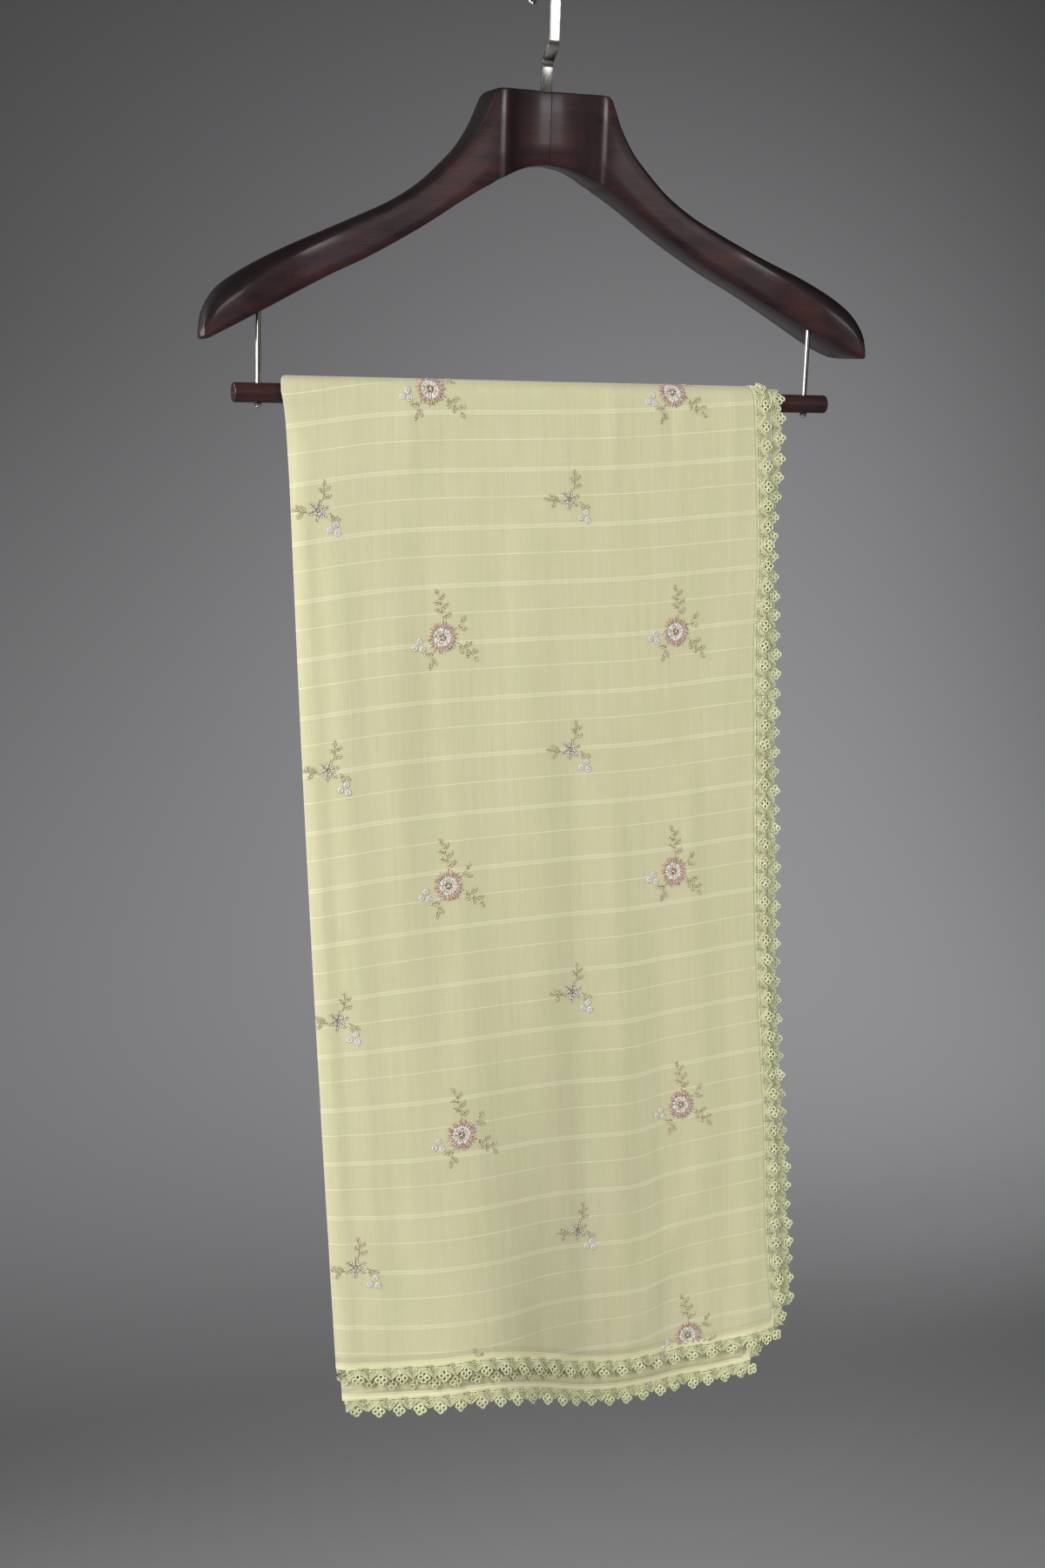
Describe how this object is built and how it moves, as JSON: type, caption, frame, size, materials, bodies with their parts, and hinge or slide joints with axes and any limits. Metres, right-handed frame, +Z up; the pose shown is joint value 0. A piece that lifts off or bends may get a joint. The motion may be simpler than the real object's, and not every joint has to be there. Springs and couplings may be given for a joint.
{
  "type": "dupatta stole on a suit hanger",
  "caption": "Sheer dupatta stole with woven stripes, embroidered sprays and lace edges, folded and hung over the trouser bar of a contoured dark wood suit hanger.",
  "frame": {"origin": "point under the top of the hook's arc where it rests on its rail", "axes": "+X along the trouser bar to the viewer's right, +Y to the back, +Z up"},
  "size_m": [0.4492, 0.0569, 0.9472],
  "materials": {
    "mahogany": "satin lacquer",
    "satin_steel": "satin",
    "voile": "sheer cotton-silk weave",
    "lace": "guipure lace"
  },
  "bodies": {
    "root": {"hook": "satin_steel", "shoulder_left": "mahogany", "shoulder_right": "mahogany", "trouser_bar": "mahogany", "rod_left": "satin_steel", "rod_right": "satin_steel", "stole_front_outer": "voile", "stole_front_inner": "voile", "stole_over_outer": "voile", "stole_over_inner": "voile", "stole_back_outer": "voile", "stole_back_inner": "voile", "stole_turn_outer": "voile", "stole_turn_inner": "voile", "lace_hem_outer": "lace", "lace_hem_inner": "lace", "lace_front_1": "lace", "lace_front_2": "lace", "lace_front_3": "lace", "lace_front_4": "lace", "lace_over_1": "lace", "lace_over_2": "lace", "lace_over_3": "lace", "lace_over_4": "lace", "lace_back_1": "lace", "lace_back_2": "lace", "lace_back_3": "lace", "lace_back_4": "lace", "lace_turn_outer": "lace", "lace_turn_inner": "lace"}
  },
  "joints": []
}
